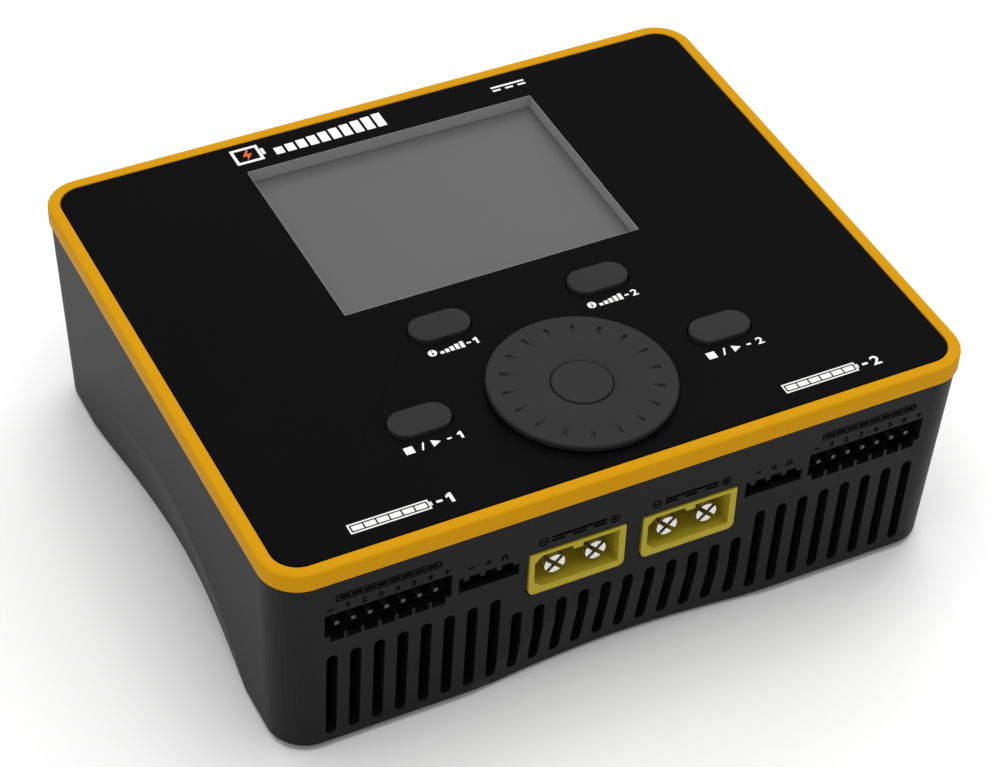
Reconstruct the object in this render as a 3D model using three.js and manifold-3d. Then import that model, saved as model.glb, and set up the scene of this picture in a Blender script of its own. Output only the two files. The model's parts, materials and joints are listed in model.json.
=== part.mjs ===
// Dual-channel balance battery charger: a drafted black housing with ventilation slots, an orange trim rim,
// a flat control panel with a display, four buttons and a turning dial, and the boards, connectors, heat
// sink and fans inside. Millimetres, +Z up, front face towards -Y, origin on the ground under the centre.

import * as THREE from 'three';
import { mergeVertices } from 'three/addons/utils/BufferGeometryUtils.js';
import Module from 'manifold-3d';

const wasm = await Module();
wasm.setup();

// ---- driving dimensions ----
const gap = 0.3; // between pieces that rest on each other
const fitGap = 0.15; // round a piece that sits in a visible opening

const rimWidth = 111.1;
const rimDepth = 91.95;
const rimRadius = 6;
const rimBand = 1.92;
const rimHeight = 3.06;
const rimFillet = 0.42;
const rimLedge = 2; // carries the edge of the panel

const footLift = 0.8;
const bodyHeight = 37; // underside of the housing to the panel's face
const panelTop = footLift + bodyHeight;
const panelThickness = 1.6;
const ledgeTop = panelTop - panelThickness - gap;

const wall = 2;
const housingTop = panelTop - rimHeight - gap;
const housingInset = 0.15;
const draftTan = 0.0358;
const wallFoot = draftTan * (panelTop - footLift) + housingInset; // inset of the walls at the bottom edge
const floorTop = footLift + wall;

const slotPitch = 3.6;
const slotWidth = 1.7;
const slotCount = 27;
const slotBottom = panelTop - 34.9;
const tallSlotTop = panelTop - 18.08;
const shortSlotTop = panelTop - 22.3;
const shortSlots = 11; // in the middle, under the output sockets

const sideScoop = { halfChord: 31, rise: 16.7, recess: 2.65 };
const frontScoop = { halfChord: 25.7, rise: 12.4, recess: 1.8 };

const outputX = 9.04;
const balanceX = 38.4;
const sensorX = 22.96;
const socket = { width: 15.3, height: 8, depth: 16, cavity: 8, corner: 1, zTop: panelTop - 11.05 };
const socketZ = socket.zTop - socket.height / 2;
const socketFace = rimDepth / 2 - 0.4;
const powerPin = { radius: 1.65, spacing: 6.5, lift: 0.1, setback: 0.75, slit: 0.65 };
const balancePitch = 2.5;
const balanceZ = panelTop - 12.28;
const balanceMouth = { half: 9.62, top: 2.82, shelf: -1.57, bottom: -2.82, notch: 1.05, pitch: 2.57 };
const sensorPitch = 2.54;
const sensorZ = panelTop - 12.5;
const portPocket = { x: 33.1, width: 30.4, height: 7.2, back: 42, wall: 1 }; // thins the wall there
const sensorMouth = { half: 4.7, top: 1.45, tooth: 0.7, bottom: -1.45, notch: 0.87, shift: 0.24, key: 0.7 };

const screen = { width: 48.96, depth: 36.8, y: 18.6, recess: 2.2, lining: 0.48, bottom: 35.1 };
const glassThickness = 1.2;
const button = { length: 9.6, width: 5.4, proud: 0.7, play: 0.25, bottom: 34.7, flange: 1 };
const statusSpot = { x: 13.05, y: -7.8 };
const runSpot = { x: 24.3, y: -24.85 };
const dial = { y: -27.8, radius: 13.9, edge: 1.4, lift: 0.35, dishRadius: 9.6, dishDepth: 0.5, bottom: 34.7 };
const dialHub = { radius: 6, bore: 4.65 };
const dialCap = { radius: 4.5, proud: 0.15, skirt: 36.5, stem: 2.4, bottom: 34.9 };
const dialTick = { count: 18, radius: 10.75, length: 2.3, width: 0.6, depth: 0.48 };

const boardThickness = 1.6;
const controlBoardTop = 30.2;
const mainBoardTop = 22.4;
const underBoard = mainBoardTop - boardThickness - gap;
const post = { x: 48.2, front: -29.5, back: 38.5, radius: 2.5 };
const caseScrew = { headRadius: 2.7, headBottom: 1.9, headTop: 3.7, radius: 1.3, tip: 14 };
const foot = { radius: 4, height: 1.3, inset: 0.82, y: 35 };
const fan = { x: 31.4, size: 25, depth: 10, z: 15.6, bore: 11.7, hub: 5.5, blades: 7 };
const fanFace = 41.8; // back of the fans, just clear of the rear wall

// ---- outlines ----
function roundedRect(width, depth, radius) {
  const shape = new THREE.Shape();
  const x = width / 2 - radius;
  const y = depth / 2 - radius;
  shape.absarc(x, y, radius, 0, Math.PI / 2);
  shape.absarc(-x, y, radius, Math.PI / 2, Math.PI);
  shape.absarc(-x, -y, radius, Math.PI, 1.5 * Math.PI);
  shape.absarc(x, -y, radius, 1.5 * Math.PI, 2 * Math.PI);
  return shape;
}

function polygon(points) {
  return new THREE.Shape(points.map(([x, y]) => new THREE.Vector2(x, y)));
}

// upright slot with round ends, centred on x
function slotOutline(x, bottom, top, width) {
  const shape = new THREE.Shape();
  const radius = width / 2;
  shape.absarc(x, top - radius, radius, 0, Math.PI);
  shape.absarc(x, bottom + radius, radius, Math.PI, 2 * Math.PI);
  return shape;
}

// ---- solids from outlines ----
function extrude(shape, bottom, top, segments = 6) {
  const options = { depth: top - bottom, bevelEnabled: false, curveSegments: segments };
  return new THREE.ExtrudeGeometry(shape, options).translate(0, 0, bottom);
}

// outline in x and z, carried along y from front to back
function extrudeAlongY(shape, front, back, segments = 6) {
  return extrude(shape, 0, back - front, segments).rotateX(Math.PI / 2).translate(0, back, 0);
}

// rounded outline stacked through levels of [z, inset], each level drawn in towards the middle
function layered(shape, levels, segments = 8) {
  const steps = levels.length - 1;
  const options = { depth: steps, steps, bevelEnabled: false, curveSegments: segments };
  const geometry = new THREE.ExtrudeGeometry(shape, options);
  const position = geometry.attributes.position;
  for (let i = 0; i < position.count; i += 1) {
    const [z, inset] = levels[Math.round(position.getZ(i))];
    const x = position.getX(i);
    const y = position.getY(i);
    position.setXYZ(i, x - Math.sign(x) * inset, y - Math.sign(y) * inset, z);
  }
  return geometry;
}

function box(width, depth, bottom, top, x = 0, y = 0) {
  return new THREE.BoxGeometry(width, depth, top - bottom).translate(x, y, (bottom + top) / 2);
}

function boxAt(x, y, z, width, depth, height) {
  return new THREE.BoxGeometry(width, depth, height).translate(x, y, z);
}

function disc(radius, bottom, top, x = 0, y = 0, segments = 24) {
  const geometry = new THREE.CylinderGeometry(radius, radius, top - bottom, segments);
  return geometry.rotateX(Math.PI / 2).translate(x, y, (bottom + top) / 2);
}

function discAlongY(radius, front, back, x, z, segments = 24) {
  const geometry = new THREE.CylinderGeometry(radius, radius, back - front, segments);
  return geometry.translate(x, (front + back) / 2, z);
}

// ring or bush turned about z from a closed list of [radius, z]
function turned(profile, segments = 36) {
  const points = profile.map(([radius, z]) => new THREE.Vector2(radius, z));
  return new THREE.LatheGeometry(points, segments).rotateX(Math.PI / 2);
}

// ---- cutting and joining ----
function weld(geometry) {
  const bare = geometry.clone();
  bare.deleteAttribute('normal');
  bare.deleteAttribute('uv');
  const merged = mergeVertices(bare, 1e-4);
  const source = merged.index.array;
  const index = [];
  for (let i = 0; i < source.length; i += 3) {
    const [a, b, c] = [source[i], source[i + 1], source[i + 2]];
    if (a !== b && b !== c && c !== a) index.push(a, b, c);
  }
  merged.setIndex(index);
  return merged;
}

function toSolid(geometry) {
  const welded = weld(geometry);
  const vertProperties = new Float32Array(welded.attributes.position.array);
  const triVerts = new Uint32Array(welded.index.array);
  return new wasm.Manifold(new wasm.Mesh({ numProp: 3, vertProperties, triVerts }));
}

function fromSolid(solid) {
  const mesh = solid.getMesh();
  const geometry = new THREE.BufferGeometry();
  geometry.setAttribute('position', new THREE.BufferAttribute(mesh.vertProperties, 3));
  geometry.setIndex(new THREE.BufferAttribute(mesh.triVerts, 1));
  return geometry;
}

function cut(base, tools) {
  const cutters = tools.map(toSolid);
  return fromSolid(cutters.reduce((solid, tool) => solid.subtract(tool), toSolid(base)));
}

function join(parts) {
  const solids = parts.map(toSolid);
  return fromSolid(solids.reduce((solid, part) => solid.add(part)));
}

function overlap(first, second) {
  return fromSolid(toSolid(first).intersect(toSolid(second)));
}

// ---- materials ----
function finish(color, roughness, metalness = 0) {
  return new THREE.MeshStandardMaterial({ color, roughness, metalness });
}

const blackShell = finish(0x2e2e2d, 0.6);
const blackPanel = finish(0x161514, 0.45);
const orangeTrim = finish(0xdc9e1a, 0.5);
const greyDisplay = finish(0x717171, 0.35);
const blackRubber = finish(0x3a3a3a, 0.75);
const yellowNylon = finish(0xa5962d, 0.5);
const blackNylon = finish(0x141414, 0.5);
const tinPlate = finish(0xd8d8d4, 0.25, 1);
const greenBoard = finish(0x1d4a33, 0.5);
const bareAluminium = finish(0xb9bcc0, 0.4, 1);
const darkFerrite = finish(0x3b3d40, 0.8);
const blueSleeve = finish(0x27324f, 0.4);
const zincSteel = finish(0x6f6f72, 0.35, 1);

const charger = new THREE.Group();

function place(name, geometry, material, parent = charger) {
  const mesh = new THREE.Mesh(geometry, material);
  mesh.name = name;
  parent.add(mesh);
  return mesh;
}

const sides = [['left', -1], ['right', 1]];

// ---- housing ----
// conical hollow swept into the foot of a wall; its mouth is an arc on the wall, its floor slopes inward
function scoop(size, halfDepth, turn, shift) {
  const radius = (size.halfChord ** 2 + size.rise ** 2) / (2 * size.rise);
  const slope = size.recess / size.rise;
  const outward = 1;
  const inward = size.recess + 1;
  const height = outward + inward;
  const cone = new THREE.CylinderGeometry(radius - inward / slope, radius + outward / slope, height, 72);
  const centreZ = footLift + size.rise - radius;
  const wallY = halfDepth - wallFoot + draftTan * (centreZ - footLift);
  cone.translate(0, (inward - outward) / 2 + shift, 0);
  return cone.rotateX(Math.atan(draftTan)).translate(0, -wallY, centreZ).rotateZ(turn);
}

function fanGrille(x) {
  const tools = [];
  for (let i = -3; i <= 3; i += 1) {
    const half = Math.sqrt(fan.bore ** 2 - (i * slotPitch) ** 2);
    const outline = slotOutline(x + i * slotPitch, fan.z - half, fan.z + half, slotWidth);
    tools.push(extrudeAlongY(outline, rimDepth / 2 - 6, rimDepth / 2 + 1, 3));
  }
  return tools;
}

// mouth of a balance port: a wide slot with a row of notches along its lower edge
function balanceOpening(x) {
  const mouth = balanceMouth;
  const { half, top, shelf } = mouth;
  const points = [[half, shelf], [half, top], [-half, top], [-half, shelf]];
  for (let i = -3; i <= 3; i += 1) {
    const left = i * mouth.pitch - mouth.notch;
    const right = i * mouth.pitch + mouth.notch;
    points.push([left, shelf], [left, mouth.bottom], [right, mouth.bottom], [right, shelf]);
  }
  return wallCut(polygon(points), x, balanceZ);
}

// mouth of a three-pin port: three notches and a narrow key notch along its upper edge
function sensorOpening(x) {
  const mouth = sensorMouth;
  const points = [[-mouth.half, mouth.bottom], [mouth.half, mouth.bottom], [mouth.half, mouth.tooth]];
  for (let i = 1; i >= -1; i -= 1) {
    const left = mouth.shift + i * sensorPitch - mouth.notch;
    const right = mouth.shift + i * sensorPitch + mouth.notch;
    points.push([right, mouth.tooth], [right, mouth.top], [left, mouth.top], [left, mouth.tooth]);
  }
  const key = -mouth.half + mouth.key;
  points.push([key, mouth.tooth], [key, mouth.top], [-mouth.half, mouth.top]);
  return wallCut(polygon(points), x, sensorZ);
}

// hollow inside the front wall, round both ports of one channel
function portHollow(x) {
  const face = rimDepth / 2 - housingInset - draftTan * (panelTop - balanceZ) - portPocket.wall;
  const depth = face - portPocket.back;
  return boxAt(x, -(face + portPocket.back) / 2, balanceZ, portPocket.width, depth, portPocket.height);
}

// outline in x and z cut through the front wall
function wallCut(outline, x, z) {
  return extrudeAlongY(outline, -rimDepth / 2 - 1, -rimDepth / 2 + 5).translate(x, 0, z);
}

// face of a power socket in x and z: square at the top, rounded at the foot
function socketOutline(grow) {
  const half = socket.width / 2 + grow;
  const top = socket.height / 2 + grow;
  const radius = socket.corner + grow;
  const outline = new THREE.Shape();
  outline.moveTo(half, top);
  outline.lineTo(-half, top);
  outline.absarc(-half + radius, -top + radius, radius, Math.PI, 1.5 * Math.PI);
  outline.absarc(half - radius, -top + radius, radius, 1.5 * Math.PI, 2 * Math.PI);
  return outline;
}

function socketOpening(x, y) {
  return extrudeAlongY(socketOutline(0.25), y - 4, y + 4, 5).translate(x, 0, socketZ);
}

function screwSpots() {
  const spots = [];
  for (const [side, sign] of sides) {
    spots.push([`front_${side}`, sign * post.x, post.front]);
    spots.push([`back_${side}`, sign * post.x, post.back]);
  }
  return spots;
}

const footSpots = screwSpots().map(([name, x, y]) => [name, x * foot.inset, Math.sign(y) * foot.y]);

function lowerHousing() {
  const outline = roundedRect(rimWidth, rimDepth, rimRadius);
  const edge = 0.5;
  const levels = [
    [footLift, wallFoot + edge],
    [footLift + edge, wallFoot - draftTan * edge],
    [housingTop, housingInset + draftTan * (panelTop - housingTop)],
  ];
  const outer = layered(outline, levels, 6);
  const insetAt = (z) => housingInset + wall + draftTan * (panelTop - z);
  const mouthTop = housingTop + 2;
  const inner = layered(outline, [[floorTop, insetAt(floorTop)], [mouthTop, insetAt(mouthTop)]], 3);
  const places = [
    [frontScoop, rimDepth / 2, 0],
    [frontScoop, rimDepth / 2, Math.PI],
    [sideScoop, rimWidth / 2, Math.PI / 2],
    [sideScoop, rimWidth / 2, -Math.PI / 2],
  ];
  const backing = places.map(([size, half, turn]) => overlap(scoop(size, half, turn, wall), outer));
  const bosses = screwSpots().map(([, x, y]) => disc(4, floorTop - 1, 6.8, x, y, 16));
  const columns = [];
  for (const [, sign] of sides) {
    for (const y of [-14, 20]) {
      columns.push(disc(2.5, floorTop - 1, underBoard, sign * 47.5, y, 12));
    }
  }
  const shell = join([cut(outer, [inner]), ...backing, ...bosses, ...columns]);

  const tools = places.map(([size, half, turn]) => scoop(size, half, turn, 0));
  for (let i = 0; i < slotCount; i += 1) {
    const step = i - (slotCount - 1) / 2;
    const top = Math.abs(step) <= (shortSlots - 1) / 2 ? shortSlotTop : tallSlotTop;
    const outlineOfSlot = slotOutline(step * slotPitch, slotBottom, top, slotWidth);
    tools.push(extrudeAlongY(outlineOfSlot, -rimDepth / 2 - 1, -rimDepth / 2 + 7, 4));
  }
  for (const [, sign] of sides) {
    tools.push(balanceOpening(sign * balanceX));
    tools.push(sensorOpening(sign * sensorX));
    tools.push(portHollow(sign * portPocket.x));
    tools.push(socketOpening(sign * outputX, -rimDepth / 2));
    tools.push(...fanGrille(sign * fan.x));
  }
  tools.push(socketOpening(0, rimDepth / 2));
  for (const [, x, y] of screwSpots()) {
    tools.push(disc(3.1, footLift - 1, 4, x, y, 20));
    tools.push(disc(1.65, 3, 8, x, y, 12));
  }
  for (const [, x, y] of footSpots) {
    tools.push(disc(foot.radius + gap, footLift - 1, foot.height + gap, x, y, 20));
  }
  return cut(shell, tools);
}
place('lower_housing', lowerHousing(), blackShell);

for (const [name, x, y] of footSpots) {
  place(`foot_${name}`, disc(foot.radius, 0, foot.height), blackRubber).position.set(x, y, 0);
}

function caseScrewBody() {
  const head = disc(caseScrew.headRadius, caseScrew.headBottom, caseScrew.headTop);
  const shank = disc(caseScrew.radius, caseScrew.headTop - 0.1, caseScrew.tip, 0, 0, 12);
  const bit = { length: 3.2, width: 0.7, depth: 2 };
  const cross = [
    boxAt(0, 0, caseScrew.headBottom, bit.length, bit.width, bit.depth),
    boxAt(0, 0, caseScrew.headBottom, bit.width, bit.length, bit.depth),
  ];
  return cut(join([head, shank]), cross);
}
for (const [name, x, y] of screwSpots()) {
  place(`case_screw_${name}`, caseScrewBody(), zincSteel).position.set(x, y, 0);
}

// ---- trim rim and panel ----
function trimRim() {
  const levels = [[panelTop - rimHeight, 0]];
  const steps = 3;
  for (let i = 0; i <= steps; i += 1) {
    const angle = (i / steps) * (Math.PI / 2);
    levels.push([panelTop - rimFillet * (1 - Math.sin(angle)), rimFillet * (1 - Math.cos(angle))]);
  }
  const band = layered(roundedRect(rimWidth, rimDepth, rimRadius), levels);
  const window = roundedRect(rimWidth - 2 * rimBand, rimDepth - 2 * rimBand, rimRadius - rimBand);
  const inside = 2 * (rimBand + rimLedge);
  const ledge = roundedRect(rimWidth - inside, rimDepth - inside, rimRadius - rimBand - rimLedge);
  const rimBottom = panelTop - rimHeight;
  return cut(band, [extrude(window, ledgeTop, panelTop + 1), extrude(ledge, rimBottom - 1, panelTop)]);
}
place('trim_rim', trimRim(), orangeTrim);

function buttonSpots() {
  const spots = [];
  for (const [side, sign] of sides) {
    spots.push([`status_${side}`, sign * statusSpot.x, statusSpot.y]);
    spots.push([`run_${side}`, sign * runSpot.x, runSpot.y]);
  }
  return spots;
}

function buttonOutline(grow) {
  const width = button.width + 2 * grow;
  return roundedRect(button.length + 2 * grow, width, width / 2 - 0.001);
}

function topPanel() {
  const play = rimBand + fitGap;
  const plate = extrude(
    roundedRect(rimWidth - 2 * play, rimDepth - 2 * play, rimRadius - play),
    panelTop - panelThickness,
    panelTop,
  );
  const posts = screwSpots().flatMap(([, x, y]) => [
    disc(3.2, controlBoardTop + gap, panelTop - 1, x, y, 16),
    disc(post.radius, 7.1, controlBoardTop + 1, x, y, 16),
  ]);
  const tools = [box(screen.width + 2 * fitGap, screen.depth + 2 * fitGap, 30, 40, 0, screen.y)];
  for (const [, x, y] of buttonSpots()) {
    tools.push(extrude(buttonOutline(button.play), 30, 40, 3).translate(x, y, 0));
  }
  tools.push(disc(dialHub.radius + 0.6, 30, 40, 0, dial.y, 36));
  for (const [, x, y] of screwSpots()) tools.push(disc(1.6, 6, 16, x, y, 12));
  return cut(join([plate, ...posts]), tools);
}
place('top_panel', topPanel(), blackPanel);

// ---- display ----
const display = new THREE.Group();
display.position.set(0, screen.y, 0);
charger.add(display);

function displayBezel() {
  const flange = box(screen.width + 4, screen.depth + 4, screen.bottom, ledgeTop);
  const sleeve = box(screen.width, screen.depth, screen.bottom, panelTop - 0.05);
  const inside = box(screen.width - 2 * screen.lining, screen.depth - 2 * screen.lining, 30, 40);
  return cut(join([flange, sleeve]), [inside]);
}
place('display_bezel', displayBezel(), greyDisplay, display);

const glassTop = panelTop - screen.recess;
const glassTrim = 2 * (screen.lining + fitGap);
const glassBottom = glassTop - glassThickness;
const glass = box(screen.width - glassTrim, screen.depth - glassTrim, glassBottom, glassTop);
place('display_glass', glass, greyDisplay, display);
const displayModule = box(screen.width + 4, screen.depth + 4, controlBoardTop + gap, glassBottom - 0.4);
place('display_module', displayModule, blackNylon, display);

// ---- buttons and their switches ----
function buttonCap() {
  const crown = extrude(buttonOutline(0), button.bottom + 0.3, panelTop + button.proud, 4);
  const flange = extrude(buttonOutline(1), button.bottom, button.bottom + button.flange, 2);
  return join([crown, flange]);
}

function tactSwitch() {
  const body = box(6, 6, controlBoardTop + gap, 33.4);
  return join([body, disc(1.6, 33, 34, 0, 0, 16)]);
}

for (const [name, x, y] of buttonSpots()) {
  place(`${name}_button`, buttonCap(), blackRubber).position.set(x, y, 0);
  place(`${name}_switch`, tactSwitch(), blackNylon).position.set(x, y, 0);
}

// ---- dial ----
const dialGroup = new THREE.Group();
dialGroup.position.set(0, dial.y, 0);
charger.add(dialGroup);

const dialTop = panelTop + dial.edge;

// shallow dish that steepens towards the cap, tick hollows that deepen outwards
function dialRing() {
  const under = panelTop + dial.lift;
  const profile = [[dialHub.bore, dial.bottom], [dialHub.radius, dial.bottom], [dialHub.radius, under]];
  profile.push([dial.radius - 0.3, under], [dial.radius, under + 0.3]);
  profile.push([dial.radius, dialTop - 0.3], [dial.radius - 0.3, dialTop]);
  const steps = 4;
  for (let i = 0; i <= steps; i += 1) {
    const part = i / steps;
    const radius = dial.dishRadius + part * (dialHub.bore - dial.dishRadius);
    profile.push([radius, dialTop - dial.dishDepth * part ** 2]);
  }
  profile.push([dialHub.bore, dial.bottom]);
  const tilt = -Math.atan(dialTick.depth / dialTick.length);
  const ticks = [];
  for (let i = 0; i < dialTick.count; i += 1) {
    const tick = boxAt(0, 0, 0.5, dialTick.width, dialTick.length, 1).rotateX(tilt);
    tick.translate(0, dialTick.radius, dialTop - dialTick.depth / 2);
    ticks.push(tick.rotateZ((i / dialTick.count) * 2 * Math.PI));
  }
  return cut(turned(profile, 36), ticks);
}
place('dial', dialRing(), blackRubber, dialGroup);

function dialCapBody() {
  const top = dialTop - dial.dishDepth + dialCap.proud;
  const crown = disc(dialCap.radius, dialCap.skirt, top, 0, 0, 36);
  return join([crown, disc(dialCap.stem, dialCap.bottom, dialCap.skirt + 0.5)]);
}
place('dial_button', dialCapBody(), blackRubber, dialGroup);

function dialEncoder() {
  return cut(box(14, 14, controlBoardTop + gap, 34.3), [disc(3.6, 30, 35)]);
}
place('dial_encoder', dialEncoder(), blackNylon, dialGroup);
const dialSwitch = join([disc(3, controlBoardTop + gap, 33.6), disc(1.6, 33, 34.2, 0, 0, 16)]);
place('dial_switch', dialSwitch, tinPlate, dialGroup);

// ---- boards ----
const boardFront = -42.4;
const boardBack = 29.2;
const boardHalf = 49.4;

function mainBoard() {
  const notch = outputX + socket.width / 2 + 0.5;
  const mouth = -socketFace + socket.depth + gap;
  const outline = polygon([
    [boardHalf, boardFront], [boardHalf, boardBack], [-boardHalf, boardBack], [-boardHalf, boardFront],
    [-notch, boardFront], [-notch, mouth], [notch, mouth], [notch, boardFront],
  ]);
  const plate = extrude(outline, mainBoardTop - boardThickness, mainBoardTop);
  return cut(plate, screwSpots().map(([, x, y]) => disc(3.1, 15, 25, x, y)));
}
place('main_board', mainBoard(), greenBoard);

function controlBoard() {
  const depth = boardBack - boardFront;
  const middle = (boardBack + boardFront) / 2;
  const plate = box(2 * boardHalf, depth, controlBoardTop - boardThickness, controlBoardTop, 0, middle);
  return cut(plate, screwSpots().map(([, x, y]) => disc(2.9, 25, 35, x, y)));
}
place('control_board', controlBoard(), greenBoard);
const boardLink = box(20, 5, mainBoardTop + gap, controlBoardTop - boardThickness - gap, 0, 10);
place('board_link', boardLink, blackNylon);
place('buzzer', cut(disc(4.5, mainBoardTop + gap, 27.2), [disc(1, 26, 28, 0, 0, 12)]), blackNylon)
  .position.set(-24, 0, 0);

// ---- power sockets ----
// yellow plug body, mouth towards -Y, its back end closed but for the two pin holes
function socketBody() {
  const half = socket.width / 2;
  const top = socket.height / 2;
  const body = extrudeAlongY(socketOutline(0), 0, socket.depth, 5);
  const bevel = 1.2;
  const left = -half + 0.8;
  const right = half - 1.05;
  const roof = top - 0.6;
  const floor = -top + 1.25;
  const cavity = polygon([
    [right, floor], [right, roof], [0.75, roof], [0.75, roof - 0.7], [-0.75, roof - 0.7], [-0.75, roof],
    [left + bevel, roof], [left, roof - bevel], [left, floor + bevel], [left + bevel, floor],
  ]);
  const holes = [-1, 1].map((sign) =>
    discAlongY(powerPin.radius + fitGap, 1, socket.depth + 1, sign * powerPin.spacing / 2, powerPin.lift));
  return cut(body, [extrudeAlongY(cavity, -1, socket.cavity), ...holes]);
}

// round pin with a crossed slit in its tip
function powerPinBody() {
  const long = socket.depth - powerPin.setback;
  const rod = discAlongY(powerPin.radius, 0, long, 0, 0);
  const slits = [1, -1].map((sign) => boxAt(0, 1, 0, 5, 6, powerPin.slit).rotateY(sign * Math.PI / 4));
  return cut(rod, slits);
}

function powerSocket(names, x, turn) {
  const group = new THREE.Group();
  group.position.set(x, turn ? socketFace : -socketFace, socketZ);
  group.rotation.z = turn;
  charger.add(group);
  place(names.body, socketBody(), yellowNylon, group);
  for (const [pole, sign] of [[names.minus, -1], [names.plus, 1]]) {
    const pin = place(pole, powerPinBody(), tinPlate, group);
    pin.position.set(sign * powerPin.spacing / 2, powerPin.setback, powerPin.lift);
  }
}

for (const [side, sign] of sides) {
  const pins = { minus: `output_pin_minus_${side}`, plus: `output_pin_plus_${side}` };
  powerSocket({ body: `output_socket_${side}`, ...pins }, sign * outputX, 0);
}
powerSocket({ body: 'input_socket', minus: 'input_pin_minus', plus: 'input_pin_plus' }, 0, Math.PI);

// ---- signal headers ----
// shrouded header, open to the front, with a slit in its back for the pins; centred on its pins
function headerShroud(width, height, cavityWidth, cavityHeight, pinSpan) {
  const shroud = boxAt(0, 4.8, 0, width, 9.6, height);
  const mouth = boxAt(0, 3, 0, cavityWidth, 8, cavityHeight);
  return cut(shroud, [mouth, boxAt(0, 8, 0, pinSpan + 1, 6, 1)]);
}

// square pins side by side, joined by their tie bar behind the shroud
function pinComb(count, pitch, length) {
  const pins = [boxAt(0, length - 0.4, 0, (count - 1) * pitch + 0.64, 0.8, 0.64)];
  for (let i = 0; i < count; i += 1) {
    pins.push(boxAt((i - (count - 1) / 2) * pitch, length / 2, 0, 0.64, length, 0.64));
  }
  return join(pins);
}

const headerFront = -43;
for (const [side, sign] of sides) {
  const balance = new THREE.Group();
  balance.position.set(sign * balanceX, headerFront, balanceZ);
  charger.add(balance);
  place(`balance_header_${side}`, headerShroud(19.9, 5.7, 17.9, 4.3, 6 * balancePitch), blackNylon, balance);
  place(`balance_pins_${side}`, pinComb(7, balancePitch, 12.4), tinPlate, balance).position.y = -1.75;

  const sensor = new THREE.Group();
  sensor.position.set(sign * sensorX, headerFront, sensorZ);
  charger.add(sensor);
  place(`sensor_header_${side}`, headerShroud(9.8, 4.6, 8.4, 3, 2 * sensorPitch), blackNylon, sensor);
  place(`sensor_pins_${side}`, pinComb(3, sensorPitch, 11.4), tinPlate, sensor).position.y = -0.75;
}

// ---- power parts under the main board ----
function heatSink() {
  const half = 28;
  const foot = 6;
  const web = 2.6;
  const fins = 11;
  const fin = 1.2;
  const pitch = (2 * half - fin) / (fins - 1);
  const points = [[half, underBoard], [-half, underBoard]];
  for (let i = 0; i < fins; i += 1) {
    const x = -half + i * pitch;
    if (i > 0) points.push([x, underBoard - web]);
    points.push([x, foot], [x + fin, foot]);
    if (i < fins - 1) points.push([x + fin, underBoard - web]);
  }
  return extrudeAlongY(polygon(points), -27, 26);
}
place('heat_sink', heatSink(), bareAluminium);

for (const [side, sign] of sides) {
  const choke = layered(roundedRect(12.5, 12.5, 1.5), [[11, 0.6], [11.6, 0], [underBoard, 0]], 3);
  place(`inductor_${side}`, choke, darkFerrite).position.set(sign * 37.5, -14, 0);
  place(`capacitor_${side}`, disc(5, 8, underBoard), blueSleeve).position.set(sign * 37.5, 4, 0);
}

// ---- fans ----
function fanFrame() {
  const half = fan.size / 2;
  const frame = extrudeAlongY(roundedRect(fan.size, fan.size, 2), 0, fan.depth, 4);
  const bored = cut(frame, [discAlongY(fan.bore, -1, fan.depth + 1, 0, 0, 36)]);
  const struts = [0, 1, 2].map((i) => {
    const arm = boxAt(half / 2 + 0.5, 0.6, 0, half - 2, 1.2, 1.6);
    return arm.rotateY((i / 3) * 2 * Math.PI + Math.PI / 2);
  });
  return join([bored, discAlongY(fan.hub, 0, 1.2, 0, 0), ...struts]);
}

function fanRotor() {
  const front = 1.6;
  const back = fan.depth - 0.6;
  const blades = [];
  for (let i = 0; i < fan.blades; i += 1) {
    const blade = new THREE.BoxGeometry(6.4, 0.9, 7.4);
    blade.translate(0, 0, 7.5).rotateZ(0.7).translate(0, (front + back) / 2, 0);
    blades.push(blade.rotateY((i / fan.blades) * 2 * Math.PI));
  }
  return join([discAlongY(fan.hub, front, back, 0, 0), ...blades]);
}

for (const [side, sign] of sides) {
  const group = new THREE.Group();
  group.position.set(sign * fan.x, fanFace - fan.depth, fan.z);
  charger.add(group);
  place(`fan_frame_${side}`, fanFrame(), blackNylon, group);
  place(`fan_rotor_${side}`, fanRotor(), blackNylon, group);
}

export default charger;
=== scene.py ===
import json
import math

import bmesh
import bpy
import numpy as np
from mathutils import Matrix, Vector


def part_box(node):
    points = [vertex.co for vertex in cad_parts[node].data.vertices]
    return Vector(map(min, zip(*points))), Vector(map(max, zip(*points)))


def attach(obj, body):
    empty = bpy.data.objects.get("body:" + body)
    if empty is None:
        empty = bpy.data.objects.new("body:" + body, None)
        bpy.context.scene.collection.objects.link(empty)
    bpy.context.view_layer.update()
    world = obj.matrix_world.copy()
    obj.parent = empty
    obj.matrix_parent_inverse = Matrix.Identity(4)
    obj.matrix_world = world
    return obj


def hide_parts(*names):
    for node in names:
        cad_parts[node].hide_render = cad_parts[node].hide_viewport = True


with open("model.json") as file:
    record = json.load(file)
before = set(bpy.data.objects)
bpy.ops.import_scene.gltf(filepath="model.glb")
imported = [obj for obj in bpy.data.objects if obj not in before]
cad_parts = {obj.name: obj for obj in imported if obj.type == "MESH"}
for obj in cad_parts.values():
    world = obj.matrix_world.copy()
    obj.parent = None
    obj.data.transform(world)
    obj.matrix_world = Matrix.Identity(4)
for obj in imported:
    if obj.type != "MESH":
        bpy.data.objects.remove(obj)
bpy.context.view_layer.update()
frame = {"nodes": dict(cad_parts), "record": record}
mm = 0.001

bodyOfNode = {node: body for body, nodes in frame["record"]["behaviour"]["bodies"].items() for node in nodes}
sides = {"left": -1, "right": 1}


def nodeBox(node):
    low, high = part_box(node)
    return np.array(low), np.array(high)


def nodeMiddle(node):
    low, high = nodeBox(node)
    return (low + high) / 2


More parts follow.
